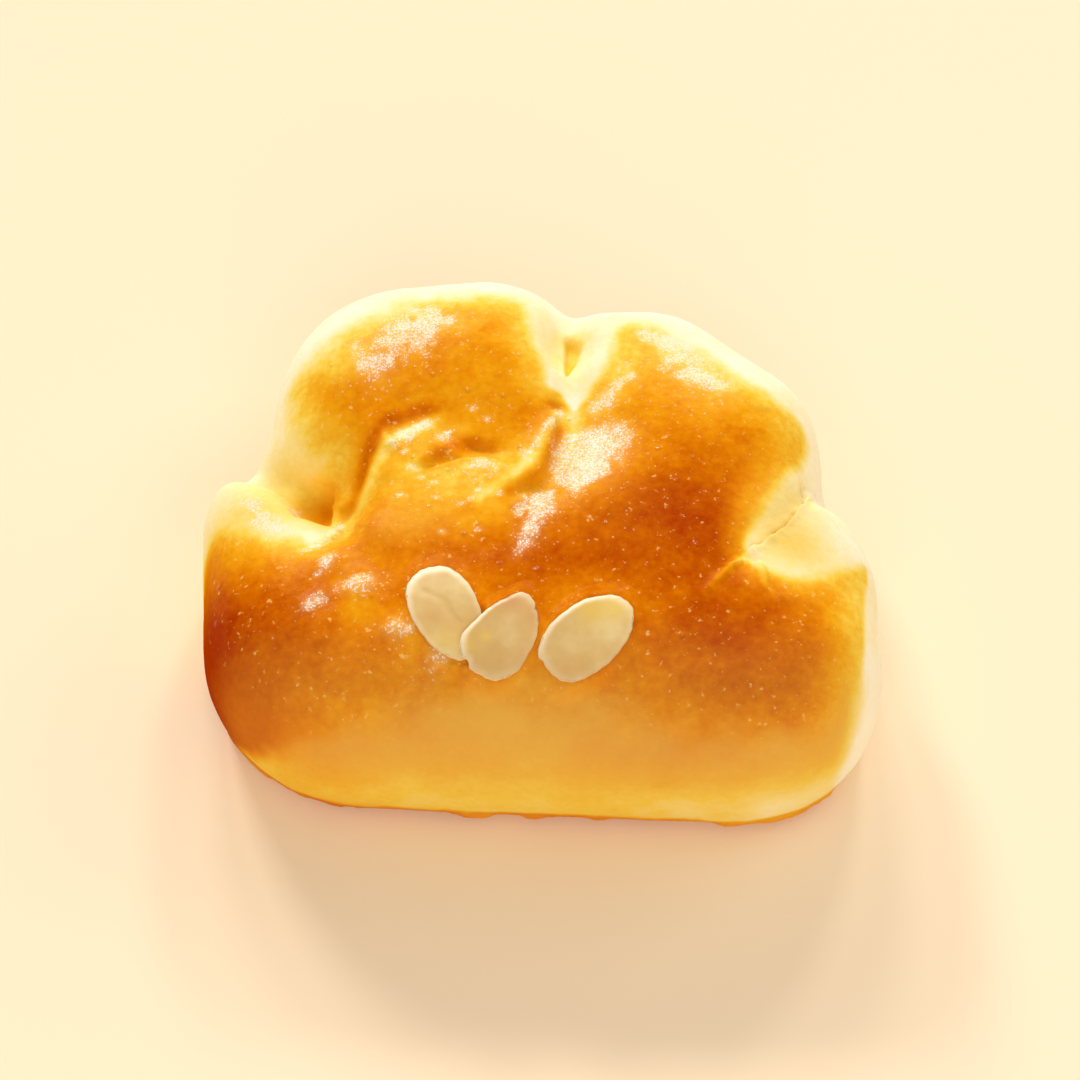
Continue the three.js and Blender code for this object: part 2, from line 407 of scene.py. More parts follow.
def hollow(plan, depth, edges):
    """A hollow to the left of every edge; an edge is two points and the width of its slope."""
    share = np.ones(len(plan))
    for start, end, soft in edges:
        run = np.subtract(end, start)
        off = plan - start
        share *= step(0, soft, (run[0] * off[:, 1] - run[1] * off[:, 0]) / np.hypot(*run))
    return -depth * share


def mound(plan, spot, size, height):
    """A soft round swelling, or a dip with a negative height."""
    return height * np.exp(-(((plan - spot) / size) ** 2).sum(1))


def all_of(shape, plan, rows):
    """The sum of one shape over the rows of a table."""
    return sum(shape(plan, *row) for row in rows)


# %% [markdown]
# ## Raise the middle
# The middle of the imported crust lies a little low, as a plain solid without wrinkles does. It is lifted to
# a gently sloping level in front of the left back lobe. Lines are drawn as they are seen from the camera,
# and a lifted point seems to lie further back, so each point looks its lines up that much further back.

# %% Raise the middle
SIGHT = 1 / math.tan(TILT)
MIDDLE_LEVEL = 36.3
MIDDLE_BACK = [(-30, 12), (-18, 11), (-12, 6.5), (-4, 3.5)]
LOBE_FOOT = [(-34, -6.9), (-33, -5.4), (-31.1, -1.6), (-29.2, 4), (-27.4, 7.9), (-26.3, 9.8), (-23.9, 10.5),
             (-21.6, 11.1), (-19.3, 11.8), (-17, 12.3), (-14, 12.8)]
MIDDLE_MOUNDS = [
    # place in plan, size and height
    ((-33, -17), (6, 5), 0.7), ((-28, -13), (5, 4.5), 1.2), ((5.5, 3), (4, 8), 0.6),
    ((12, -8), (8, 8), 0.8), ((12.5, 9), (6, 7), -0.5),
]


def wandering(places):
    """Plan places shifted a little, so that no fold runs as a drawn line."""
    return places[:, :2] + 0.55 * shifts(places, 4.5, 41) + 0.2 * shifts(places, 1.8, 43)


def upper(places):
    """The share of a fold that shows at a height: none low on the walls."""
    return step(10, 18, places[:, 2])


places, facing = points_of(crust_mesh)
plan = wandering(places)
x, y = plan.T.copy()
level = MIDDLE_LEVEL + 0.06 * x - 0.01 * (y + 16)
back = np.interp(x, *zip(*MIDDLE_BACK))
inside = step(-32, -23, x) * step(4, -6, x) * step(0, 5, back - y) * step(-24, -14, y)
lifted = inside * np.clip(level - places[:, 2], -1, 5)
lifted += ridge(plan, LOBE_FOOT[1:7], 2.0, (3.5, 4.0), (0.2, 0.3))
lifted += mound(plan, (-21.5, 10), (5, 2.6), 1.4)
plan[:, 1] += SIGHT * lifted
rise = lifted + all_of(mound, plan, MIDDLE_MOUNDS)
print("middle raised by up to", round(lifted.max(), 2), "mm")

# %% [markdown]
# ## Foot, dent and long crease
# The left back lobe ends in a steep foot that runs from the left pit up to a corner and on to the right. In
# front of it lie a dent and low ridges. A long ridge comes down from the back cut with a crease on its
# right. An overlap gives each its steep side, and ridges give the rest.

# %% Foot, dent and long crease
DENT = [(-19.4, 0.9), (-18.2, 1.7), (-15.6, 3.2), (-13, 4.1), (-10.7, 4.3), (-7.8, 3.7), (-6, 2.9)]
LONG_CREASE = [(-6.4, -7.2), (-2.9, -5.0), (-0.2, -2.8), (1.5, -0.6), (2.9, 3.5), (4.1, 8.4), (4.6, 11.2),
               (4.8, 14.5)]
MIDDLE_RIDGES = [
    # knots in plan, height, and the width to the left and to the right
    ([(-25.6, 8.8), (-23, 9.6), (-19.8, 10.7)], 0.3, (1.0, 1.8)),
    ([(-18.8, 7.2), (-16.6, 7.9), (-14.6, 8.2)], 0.3, (1.2, 1.7)),
    ([(-17.4, 0.4), (-15, 1.5), (-11.9, 2.2), (-8.7, 1.8), (-7, 0.4)], 0.3, (1.5, 2.2)),
    ([(0.8, -4.3), (1.4, -8.6), (0, -12.7), (-2.4, -18.2)], 0.5, (1.6, 1.4)),
    ([(-2.2, -5.8), (-3.8, -9.6)], 0.3, (0.9, 0.9)),
    ([(1.6, 13.4), (4.4, 14.4)], -0.3, (0.9, 0.8)),
    ([(1.2, 11.2), (3.8, 12.6)], 0.35, (0.7, 0.8)),
]


def as_seen(places):
    """Plan places without wandering, moved back by the lift."""
    return places[:, :2] + SIGHT * lifted[:, None] * [0, 1]


calm = 0.35 * plan + 0.65 * as_seen(places)
rise += overlap(calm, LOBE_FOOT, 0.35, 0.1, 2.0, (6, 2.0), (0.06, 0.35))
rise += overlap(plan, DENT, 0.8, 0.4, 3.2, (3.5, 2.2), (0.3, 0.35))
rise += overlap(plan, LONG_CREASE, 0.9, 0.5, 1.8, (3.2, 2.6), (0.3, 0.3))
rise += all_of(ridge, plan, MIDDLE_RIDGES)
print("ridges of the middle", len(MIDDLE_RIDGES))

# %% [markdown]
# ## Left pit
# On the left the folded dough has left a pit. Its right wall stands steep under a thin ridge, and its other
# sides are soft, which a hollow with a different slope on each edge gives.

# %% Left pit
PIT_DEPTH = 1.25
LEFT_PIT = [
    # the start and end of an edge, and the width of its slope
    ((-35.2, -7), (-35.3, 4), 0.7), ((-35, 3.6), (-43, 7.5), 2.0),
    ((-44, 6), (-44, -6), 6.0), ((-44, -7.4), (-35, -6.7), 1.2),
]
PIT_RIDGES = [
    # knots in plan, height, widths, and the share over which each end fades
    ([(-34.5, -5.6), (-34.5, -1), (-34.3, 4)], 0.9, (0.8, 0.8), (0.2, 0.5)),
    ([(-38.8, -14.6), (-36.3, -13.1), (-35.2, -10.3), (-34.3, -7)], 0.5, (0.6, 0.8), (0.2, 0.15)),
]
PIT_CREASE = [(-33.7, -6.2), (-31.3, -8.8), (-29.3, -11.8), (-26.9, -13.5), (-23.5, -14.6)]
rise += hollow(plan, PIT_DEPTH, LEFT_PIT)
rise += all_of(ridge, plan, PIT_RIDGES)
rise += overlap(plan, PIT_CREASE, 0.25, 0.0, 1.6, (3.5, 2), (0.08, 0.6))
print("deepest so far", round(rise.min(), 2), "mm")

# %% [markdown]
# ## Right cut
# The right cut has closed to a ragged crack, with small flaps along it and two pleats that run on into the
# browned skin. The crack is an overlap on a line that is torn more finely than the others.

# %% Right cut
RIGHT_CRACK = [(46.4, 3), (46.1, 1.2), (45.7, -2.2), (45, -5.7), (42.4, -10.4), (41.1, -12.2), (40.1, -13.7),
               (38, -15.6), (35.9, -16.6), (34.3, -18.6)]
PLEATS = [[(34.8, -18.6), (32.4, -21.2), (29.8, -24.4), (27.6, -27.6), (26, -31)],
          [(36.2, -19.4), (37.3, -22), (38.2, -25.4), (38.8, -29)]]
CUT_RIDGES = [
    # knots in plan, height and widths
    ([(46.3, 2.4), (46, 0.4), (45.8, -1.6)], -1.0, (0.7, 0.6)),
    ([(40.2, -27.2), (42.2, -28.4)], 0.45, (0.6, 0.6)),
    ([(38.6, -31), (40.6, -32.2)], 0.4, (0.7, 0.6)),
    ([(36.2, 11.3), (39.5, 12.6), (43, 14.3)], -0.35, (0.6, 0.6)),
]
FLAPS = [
    # place in plan, size and height
    ((45.4, -6.4), (1.2, 1.1), 0.6), ((41.9, -13.4), (1.0, 0.8), 0.4),
    ((39.6, -15.3), (1.3, 0.9), 0.5), ((37.5, -16.8), (1.1, 0.8), 0.1),
]
torn = plan + 0.4 * shifts(places, 1.4, 45)
rise += ridge(plan, RIGHT_CRACK, 0.9, (3, 3), (0.2, 0.1))
rise += overlap(torn, RIGHT_CRACK, 0.5, 0.7, 0.5, (1.2, 0.8), (0.1, 0.1))
rise += ridge(torn, PLEATS[0], 0.8, (0.7, 0.9), (0.1, 0.7))
rise += ridge(torn, PLEATS[1], 0.8, (0.7, 0.8), (0.15, 0.6))
rise += all_of(ridge, plan, CUT_RIDGES) + all_of(mound, plan, FLAPS)
places += facing * (rise * upper(places))[:, None]
put_points(crust_mesh, places)
print("deepest", round(rise.min(), 2), "highest", round(rise.max(), 2))

# %% [markdown]
# ## Back cut
# The back cut has opened and shows a leaf-shaped slit with a low swelling behind it. The slit is pressed
# straight down, because its walls are too steep to move along their normals.

# %% Open the back cut
SLIT_DEPTH = 1.3
BACK_CUT = [((4.9, 18.8), (8.8, 31), 1.0), ((4.7, 36), (4.8, 18), 0.7), ((10, 31.2), (4.6, 35.6), 2.5)]
places = points_of(crust_mesh)[0]
leaf = -hollow(places[:, :2], 1.0, BACK_CUT) * upper(places)
swelling = mound(places[:, :2], (9, 39.5), (4.5, 3.5), 1.4) * upper(places)
places[:, 2] += swelling - SLIT_DEPTH * leaf
put_points(crust_mesh, places)
print("back cut", round(SLIT_DEPTH * leaf.max(), 2), "mm deep")

# %% [markdown]
# ## Wrinkles of the front
# The left front carries soft wrinkles that lean to the left, and a few low bumps that catch the light of
# the windows.

# %% Front wrinkles
FRONT_RIDGES = [
    # knots in plan, height, widths, and the share over which each end fades
    ([(-38, -22.4), (-35.6, -19.4), (-33.4, -17.2)], 0.4, (1.1, 1.3)),
    ([(-39.6, -30), (-37, -26.6), (-34.6, -23.6)], 0.45, (1.2, 1.4)),
    ([(-32, -18), (-33.4, -23), (-35, -28), (-36.8, -32)], -0.35, (1.8, 1.6), (0.4, 0.4)),
    ([(-27.8, -19), (-26.2, -23), (-25.2, -28)], -0.3, (1.8, 1.6), (0.4, 0.4)),
    ([(-36.6, -36), (-34, -33.4)], 0.3, (1.0, 1.0)),
    ([(-21.4, -42.4), (-20.2, -45.8)], -0.4, (0.8, 0.7)),
]
FRONT_BUMPS = [((-29.6, -24.4), (3.0, 3.2), 0.9), ((-23.2, -33.4), (2.6, 1.7), 0.6),
               ((-16.8, -38.4), (1.8, 1.3), 0.4)]
places, facing = points_of(crust_mesh)
plan = wandering(places)
rise = all_of(ridge, plan, FRONT_RIDGES) + all_of(mound, plan, FRONT_BUMPS)
places += facing * (rise * upper(places))[:, None]
put_points(crust_mesh, places)
print("wrinkles from", round(rise.min(), 2), "to", round(rise.max(), 2))

# %% [markdown]
# ## Unevenness
# Hand-shaped dough is never quite round. Broad low lumps and a finer grain break up the reflections, and
# along the front of the base the dough has run out into a thin ragged lip, which is kept within the packed
# box.

# %% Lumps and base lip
LIP = 1.2
BOX_MARGIN = 0.05
places, facing = points_of(crust_mesh)
swell = 0.22 * lumps(places, 11, 1) + 0.08 * lumps(places, 4.3, 2) + 0.03 * lumps(places, 1.9, 3)
creased = mound(places[:, :2], (-12, -1), (18, 13), 1.0) * step(20, 26, places[:, 2])
swell += creased * (0.07 * lumps(places, 3.1, 4) + 0.03 * lumps(places, 1.5, 5))
places += facing * (swell * step(0.3, 3, places[:, 2]))[:, None]

outward = facing[:, :2] / np.maximum(np.hypot(facing[:, 0], facing[:, 1]), 0.2)[:, None]
upright = places * [1, 1, 0.2]
ragged = np.clip(0.66 + 0.85 * lumps(upright, 5.5, 21) + 0.3 * lumps(upright, 1.6, 22), 0.2, 1)
lip = LIP * step(3.6, 1.4, places[:, 2]) * ragged * step(-15, -35, places[:, 1])
places[:, :2] += outward * lip[:, None]
lowest, highest = (np.array(corner[:2]) / MM for corner in cad_box)
places[:, :2] = np.clip(places[:, :2], lowest + BOX_MARGIN, highest - BOX_MARGIN)
put_points(crust_mesh, places)
crust_mesh.shade_smooth()
print("lumps up to", round(swell.max(), 2), "mm, lip up to", round(lip.max(), 2), "mm")

# %% [markdown]
# ## Outlines of the almonds
# A blanched almond is cut lengthwise into thin leaves. No two are alike: one end is blunter, tips break off
# and edges chip. Each outline is a rounded oval with bites taken out of it, and lies in the frame of its
# packed slice.

# %% Outlines of the almonds
ALMONDS = {
    # length and width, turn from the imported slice, radius of the bend, narrowing, bluntness of both ends,
    # bites as an angle, a width and a depth, drop of the rim and the angle where it is lit, a vein,
    # and spots of two tints as a place, a size and a strength
    "almond_left": {
        "size": (18.6, 11.0), "turn": 0, "bend": 42, "taper": 0.05, "blunt": (2.3, 2.0),
        "bites": [], "round": 0.4, "lit": 180,
        "vein": [(-4.8, -1), (-3, 0.3), (-1.6, 1.1), (0.4, 1), (2, 1.3)],
        "honey": [((5, -2), 2.5, 0.3)], "blush": []},
    "almond_middle": {
        "size": (16.2, 11.4), "turn": -12, "bend": 42, "taper": -0.08, "blunt": (2.0, 2.2),
        "bites": [(241, 45, 0.24), (165, 12, -0.02), (146, 4, 0.05), (45, 26, -0.05), (-24, 8, 0.07)],
        "round": 0.5, "lit": -105, "vein": [],
        "honey": [((2, -1.7), 0.9, 0.7), ((4.5, -4), 2.2, 0.5)],
        "blush": [((-5.4, -1), 2.0, 0.5), ((-6.2, 3.2), 1.8, 0.4), ((0, 0), 9, 0.12)]},
    "almond_right": {
        "size": (18.2, 11.4), "turn": 0, "bend": 54, "taper": 0.04, "blunt": (2.3, 1.95),
        "bites": [(180, 20, 0.05), (160, 5, 0.03)], "round": 0.55, "lit": 70, "vein": [],
        "honey": [((3.5, 2.8), 2.6, 0.6), ((7, 0.5), 2.2, 0.6)], "blush": [((-7, -2), 2, 0.2)]},
}


def slice_frame(node):
    """Middle and axes of a packed slice: along it, across it and out of it."""
    corners = np.array([vert.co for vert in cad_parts[node].data.vertices]) / MM
    corners = np.unique(corners.round(3), axis=0)
    middle = corners.mean(0)
    axes = np.linalg.svd(corners - middle, full_matrices=False)[2]
    along, out = axes[0], axes[2]
    out = out if out[2] > 0 else -out
    along = along if along[1] < 0 or node == "almond_right" and along[0] > 0 else -along
    turn = math.radians(ALMONDS[node]["turn"])
    along = math.cos(turn) * along + math.sin(turn) * np.cross(out, along)
    return middle, along, np.cross(out, along), out


def rim_of(angle, cut):
    """Distance of the outline from the middle at an angle, as a share of half the length and width."""
    blunt = cut["blunt"][0] if math.cos(angle) < 0 else cut["blunt"][1]
    rim = (abs(math.cos(angle)) ** blunt + abs(math.sin(angle)) ** blunt) ** (-1 / blunt)
    rim *= 1 + 0.008 * math.sin(9 * angle + cut["bend"]) + 0.006 * math.sin(23 * angle + 2 * cut["bend"])
    for at, wide, deep in cut["bites"]:
        off = (math.degrees(angle) - at + 180) % 360 - 180
        rim *= 1 - deep * math.exp(-((off / wide) ** 4))
    return rim


def ring_of(a, b, cut):
    """Place between the middle, 0, and the rim, 1, and the angle from the middle."""
    length, width = cut["size"]
    angle = np.arctan2(2 * b / width, 2 * a / length)
    return np.hypot(2 * a / length, 2 * b / width), angle


print("outlines", {node: cut["size"] for node, cut in ALMONDS.items()})

# %% [markdown]
# ## Cut the almonds
# Each slice starts as a grid that is drawn to a disc and on to its outline, bent, thickened and bevelled. A
# grid keeps the faces even up to the rim, which a fan of triangles would not. The rim drops a little where
# it is lit, and the left slice has a fine vein. Tints for the material are kept as attributes, among them a
# painted highlight along the lit side of the rim.

# %% Cut the almonds
THICK = 1.1
RIM = 0.2
VEIN = 0.15
SHADED, LIT_ARC = 0.12, 75
ROUND_FROM = 0.78


def thick_leaf(cut):
    """A bent leaf with a bevelled rim, as a bmesh in millimetres."""
    length, width = cut["size"]
    bm = bmesh.new()
    bmesh.ops.create_grid(bm, x_segments=44, y_segments=28, size=1)
    for vert in bm.verts:
        u, v = vert.co.x, vert.co.y
        u, v = u * math.sqrt(1 - v * v / 2), v * math.sqrt(1 - u * u / 2)
        rim = rim_of(math.atan2(v, u), cut)
        a = u * rim * length / 2
        b = v * rim * width / 2 * (1 - cut["taper"] * 2 * a / length)
        vert.co = (a, b, THICK / 2 - a * a / (2 * cut["bend"]))
    bmesh.ops.recalc_face_normals(bm, faces=bm.faces)
    bmesh.ops.solidify(bm, geom=bm.faces[:], thickness=THICK)
    bmesh.ops.recalc_face_normals(bm, faces=bm.faces)
    sharp = [edge for edge in bm.edges if edge.is_manifold and edge.calc_face_angle() > math.radians(50)]
    bmesh.ops.bevel(bm, geom=sharp, offset=RIM, segments=3, profile=0.5, material=-1, affect="EDGES")
    return bm


def cut_slice(node, cut):
    """A mesh piece of one almond slice, laid where its packed slice lies."""
    middle, along, across, out = slice_frame(node)
    bm = thick_leaf(cut)
    local = np.array([vert.co for vert in bm.verts])
    ring, angle = ring_of(local[:, 0], local[:, 1], cut)
    ring /= np.array([rim_of(turn, cut) for turn in angle])
    level = local[:, 2] + local[:, 0] ** 2 / (2 * cut["bend"])
    turned = (np.degrees(angle) - cut["lit"] + 180) % 360 - 180
    lit = SHADED + (1 - SHADED) * np.exp(-((turned / LIT_ARC) ** 2))
    drop = np.clip((ring - ROUND_FROM) / (1 - ROUND_FROM), 0, 1) ** 2
    local[:, 2] -= (level > 0) * lit * cut["round"] * drop
    if cut["vein"]:
        off = along_line(local[:, :2], smooth_line(cut["vein"]))[0]
        local[:, 2] += (level > 0) * VEIN * (step(-0.35, 0.1, off) - 1) * step(2.0, 0.4, np.abs(off))
    for vert, (a, b, c) in zip(bm.verts, local):
        vert.co = Vector(middle + a * along + b * across + c * out) * MM
    mesh = bpy.data.meshes.new(node + "_slice")
    bm.to_mesh(mesh)
    bm.free()
    mesh.shade_smooth()
    # The edge tint is a painted highlight along the lit side of the rim
    tints = {"edge": step(0.79, 0.98, ring) * lit, "honey": np.zeros(len(local))}
    tints["blush"] = 0.5 * step(0.3, -0.2, level)
    for tint in ("honey", "blush"):
        for spot, size, amount in cut[tint]:
            tints[tint] += mound(local[:, :2], spot, size, amount)
    keep(mesh, tints)
    return place(node + "_slice", mesh)


slices = {node: cut_slice(node, cut) for node, cut in ALMONDS.items()}
print({node: len(piece.data.polygons) for node, piece in slices.items()})

# %% [markdown]
# ## Seats of the slices
# The slices were pressed into wet glaze, so no gap shows under them. The skin below each one is drawn up to
# its underside, stands as a low collar at its rim, and the pull fades out beyond it. The middle slice comes
# last, because it lies on the left one.

# %% Seat the slices
GLUE = 0.03
COLLAR = 0.4
MOST_PULL = 1.5
places = points_of(crust_mesh)[0]
taken = np.zeros(len(places))
turns = np.linspace(-math.pi, math.pi, 721)
for node in ("almond_left", "almond_right", "almond_middle"):
    cut = ALMONDS[node]
    middle, along, across, out = slice_frame(node)
    a, b, c = (places - middle) @ along, (places - middle) @ across, (places - middle) @ out
    ring, angle = ring_of(a, b, cut)
    ring /= np.interp(angle, turns, [rim_of(turn, cut) for turn in turns])
    beyond = (ring - 1) * cut["size"][1] / 2
    pull = step(2.4, 0.1, beyond) * (1 - taken) * (np.abs(c) < 4)
    under = -THICK / 2 - a**2 / (2 * cut["bend"]) - GLUE + COLLAR * step(-0.9, -0.1, beyond)
    places += out * (np.clip(under - c, -MOST_PULL, MOST_PULL) * pull)[:, None]
    taken = np.maximum(taken, step(0.8, 0.1, beyond) * (np.abs(c) < 6))
put_points(crust_mesh, places)
print("seated points", int((taken > 0.5).sum()))

# %% [markdown]
# ## Edge of the glazed skin
# Heat browns what was brushed with egg and faces the oven's roof. One closed line in plan marks where that
# skin ends, with a soft or a sharp edge, and on the side walls the edge slants and frays. A line is easier
# to place than a painted image, and it needs none.

# %% Edge of the glazed skin
GLAZE_EDGE = [
    # left lobe and left pit: x, y, the width of the change and the depth over which the browning grows
    (-60, -8, 3, 6), (-55, -6.4, 3, 6), (-50, -9.3, 3, 6), (-46.1, -11, 3, 6), (-41.2, -12, 2.5, 6),
    (-38, -14, 2, 6), (-35.6, -10, 1.5, 6), (-34.6, -6, 1.5, 8), (-35, -1, 1.5, 8), (-36.6, 4, 3, 10),
    (-40.6, 9.5, 5, 12), (-43.8, 17, 5, 13), (-45.2, 22.6, 5, 14),
    # left back lobe
    (-40.6, 26.1, 6, 15), (-36, 30.6, 7, 15), (-27.8, 35.1, 8, 15), (-19.3, 38.6, 8, 15), (-12, 38.8, 8, 15),
    (-3, 37.5, 5, 12), (-0.8, 29.5, 3, 10), (1.1, 25, 2.5, 9), (1.4, 20, 2.2, 8), (2.2, 17.8, 1.2, 6),
    (4.2, 17, 0.8, 5),
    # pale strip below the back cut, and the right back lobe
    (5.2, 15.2, 0.8, 5), (6.6, 13.8, 1, 7), (7.6, 15, 1.4, 8), (9.9, 18.4, 1.8, 12), (11.6, 22, 2, 14),
    (13.9, 28.7, 2.5, 15), (16, 32.5, 4, 16), (20.9, 31.4, 6, 16), (25.9, 28.6, 6, 16), (30, 25.5, 6, 17),
    (35, 22, 6, 17), (40, 18.6, 5, 17), (43.8, 15.6, 3.5, 17), (47.6, 12.6, 2.5, 17), (46.9, 5.6, 2, 14),
    # right cut and right lobe
    (43, 0.3, 2.5, 9), (39.6, -5.9, 2.5, 8), (36.6, -12.3, 2, 7), (35.2, -16.6, 1.6, 6), (37.5, -21, 2.2, 6),
    (42.6, -22.8, 3, 6), (48.2, -20, 3, 8), (51.8, -17.6, 2.2, 9), (56.6, -13.4, 1.6, 10),
    (57.2, -16.4, 1, 10), (55.7, -22.1, 1, 11), (54.8, -31.4, 1, 11), (54.4, -38, 1.4, 11),
    (53, -44, 2.4, 10),
    # front and left end
    (49, -50, 4, 8), (40, -58, 4, 8), (0, -60, 4, 8), (-40, -58, 4, 8), (-56, -48, 4, 8), (-64, -36, 4, 8),
    (-64, -16, 4, 6),
]


def inside_loop(plan, line):
    """Whether a point lies inside a closed line."""
    inside = np.zeros(len(plan), bool)
    for a, b in zip(line[:, :2], line[1:, :2]):
        if a[1] == b[1]:
            continue
        beside = (a[1] > plan[:, 1]) != (b[1] > plan[:, 1])
        inside ^= beside & (plan[:, 0] < a[0] + (plan[:, 1] - a[1]) * (b[0] - a[0]) / (b[1] - a[1]))
    return inside


places, facing = points_of(crust_mesh)
plan = as_seen(places)
x, y, z = plan[:, 0], plan[:, 1], places[:, 2]
edge = smooth_line(GLAZE_EDGE, closed=True, steps=5)
gap, way = along_line(plan, edge)
soft, depth = (np.interp(way, np.arange(len(edge)), edge[:, k]) for k in (2, 3))
gap = np.where(inside_loop(plan, edge), np.abs(gap), -np.abs(gap))
ragged = 0.5 * lumps(places, 5, 31) + 0.3 * lumps(places, 2, 32)
patchy = lumps(places, 8, 33) + 0.5 * lumps(places, 3.5, 34)
flank = step(30, 3, z) * step(0.7, 0.2, facing[:, 2]) * step(-27, -13, y)
gap = gap - flank * (7 + 2.5 * patchy)
soft = soft + 3 * flank
glaze = step(-0.5, 0.8, gap / soft + 0.35 * ragged)
deepen = step(0, 1, gap / depth + 0.12 * ragged)
print("glazed share", round(float((glaze > 0.5).mean()), 3))

# %% [markdown]
# ## Browning
# Browning is a number per point: 0 is raw cream dough and 1 dark caramel. It grows inward from the edge of
# the glazed skin. Free corners darken most, the middle stays golden, and what leaned on other buns or lay
# in a cut stays pale. Soft round zones, given one by one, add these up.

# %% Browning
RAW = 0.021
GOLDEN, DEEPER = 0.30, 0.26
RAW_ZONES = [
    # place in plan, size and amount
    ((53, -12), (5, 4), -0.06), ((-43, 2), (8, 9), 0.17), ((-42, 11), (7, 9), 0.06),
    ((-51, -7), (9, 4.5), 0.15), ((4, 24), (4, 9), 0.05), ((42, -10), (7, 11), 0.13),
    ((45, -15), (8, 6), 0.09), ((4, 28), (10, 9), 0.03),
]
GLAZED_ZONES = [
    # right half, front right and front middle
    ((22, -4), (13, 9), 0.08), ((33, -34), (14, 6), 0.06), ((24, -16), (19, 15), 0.31),
    ((33, -36), (17, 9), 0.18), ((30, -45), (9, 5), 0.08), ((-6, -24), (18, 9), 0.16),
    # left corner
    ((-46, -30), (15, 11), 0.26), ((-57, -30), (7, 15), 0.3), ((-28, -33), (12, 9), 0.06),
    ((-46, -43), (8, 6), 0.1),
    # golden places
    ((-46, -15), (11, 5), -0.14), ((-30, -29), (4, 6), -0.2), ((-22, -33), (4, 3), -0.12),
    ((54, -24), (7, 9), -0.12), ((-15, 0.5), (16, 8.5), -0.25), ((16, 26), (6, 8), -0.08),
    ((10, 1), (8, 10), -0.18),
]
SMALL_ZONES = [
    # left pit: browner inside, partly browning and partly painted shade
    ((-36.6, -1.4), (2.2, 5), 0.32), ((-39, -1), (3.5, 5), 0.23),
    # back cut and the strip below it
    ((6.4, 11.5), (1.5, 4), -0.2), ((3.8, 14), (2.2, 1.2), 0.22), ((7, 32.5), (2.6, 2.2), 0.13),
    # left back lobe, lighter where a highlight is painted; the dent, darker where shade is painted; and the
    # middle
    ((-34, 22.5), (4.5, 4.5), -0.09), ((-16, 4.6), (2.8, 1.6), 0.18), ((-12.6, 6.2), (3.4, 1.6), 0.04),
    ((-10, -3), (5, 3), 0.03), ((-4, -18), (12, 5), 0.12), ((-22, -11), (6, 4), -0.07),
]
behind = step(0.6, 0.2, facing[:, 2]) * step(0.1, 0.6, facing[:, 1])
raw = RAW + all_of(mound, plan, RAW_ZONES) + behind * (0.03 + 0.02 * patchy + 0.04 * step(14, 2, z))
brown = raw * (1 - glaze) + glaze * (GOLDEN + DEEPER * deepen)
brown += glaze * all_of(mound, plan, GLAZED_ZONES) + all_of(mound, plan, SMALL_ZONES)
brown += leaf * (0.1 + 0.16 * step(30, 20, y))
print("browning so far from", round(brown.min(), 2), "to", round(brown.max(), 2))

# %% [markdown]
# ## Shade in the folds
# Bands along the lines of the folds change the browning. The foot of the left back lobe is darker, partly
# browning and partly painted shade, with a band of painted light on the slope to its right. Painted shade
# lies behind the dent and in the floor of the long crease, and painted light on its crest. The pleats of the
# right cut are drawn lighter along their ridges.

# %% Shade in the folds
CREASE_FLOOR = [(4.6, 13), (4.4, 10.9), (2.6, 4.7), (-0.3, -1.3), (-2.5, -3.6), (-4.6, -4.7)]
CREASE_CREST = [(4.1, 13), (2, 7.4), (0, 2.5), (-2.5, -0.6), (-4.6, -2.3), (-9.7, -6.4)]


def band(off, at, width):
    """A soft band along a line, at a distance from it and of a width in millimetres."""
    return np.exp(-(((off - at) / width) ** 2))


off, way = along_line(plan, smooth_line(LOBE_FOOT))
# Dark band at the foot: browning and painted shade; light band to its right: painted light
foot_browning_shade_and_light = 0.28 * band(off, 1.1, 1.3) * step(-0.6, 0.3, off) - 0.2 * band(off, -1.4, 1.3)
brown += foot_browning_shade_and_light * step(4, 22, way) * step(80, 62, way)
off, way = along_line(plan, smooth_line(DENT))
# Painted shade behind the dent
brown += 0.2 * band(off, 1.7, 1.5) * step(0, 10, way) * step(48, 36, way)
# Painted shade in the floor of the long crease
brown += 0.16 * band(along_line(plan, smooth_line(CREASE_FLOOR))[0], 0, 1.0) * step(13, 8, y)
# Painted light on the crest of the long ridge
brown -= 0.2 * band(along_line(plan, smooth_line(CREASE_CREST))[0], 0, 1.2)
# Lighter along the ridges of the pleats
frayed = plan + 0.5 * shifts(places, 1.3, 47)
for knots in PLEATS:
    brown -= 0.32 * glaze * band(along_line(frayed, smooth_line(knots))[0], 0, 0.8) * step(-30, -20, y)
print("browning with the folds from", round(brown.min(), 2), "to", round(brown.max(), 2))

# %% [markdown]
# ## Front wall
# The glaze ends above the front wall in an uneven line, and below it the skin is matt and golden, lighter
# towards the base and the right end. The thin lip at the base has browned on the tray.

# %% Front wall
BROWN_FOOT = [(-60, 2), (-52, 8), (-47, 14), (-41.4, 20), (-36, 25), (-28, 29.5), (-20, 32.4), (-10, 33.8),
              (2, 34.2), (10, 34.2), (17, 32.6), (27, 30), (36, 28.6), (46, 28), (52, 29), (60, 28)]
WALL = 0.43
LIP_BROWN = 0.38
foot = np.interp(x, *zip(*BROWN_FOOT))
low = step(foot + 0.5, foot - 7.5, z + 2.0 * ragged + 1.8 * patchy) * step(-20, -36, y)
lower = step(26, 8, z)
wall = WALL - 0.18 * lower - 0.12 * step(20, 46, x) * lower - 0.4 * step(49, 56, x) + 0.05 * patchy
wall += mound(plan, (-36, -49), (10, 5), 0.12) + mound(plan, (27, -50), (11, 4), 0.11) * step(12, 24, z)
brown = brown * (1 - low) + wall * low
glaze = glaze * (1 - low) * step(0.3, 0.75, facing[:, 2])
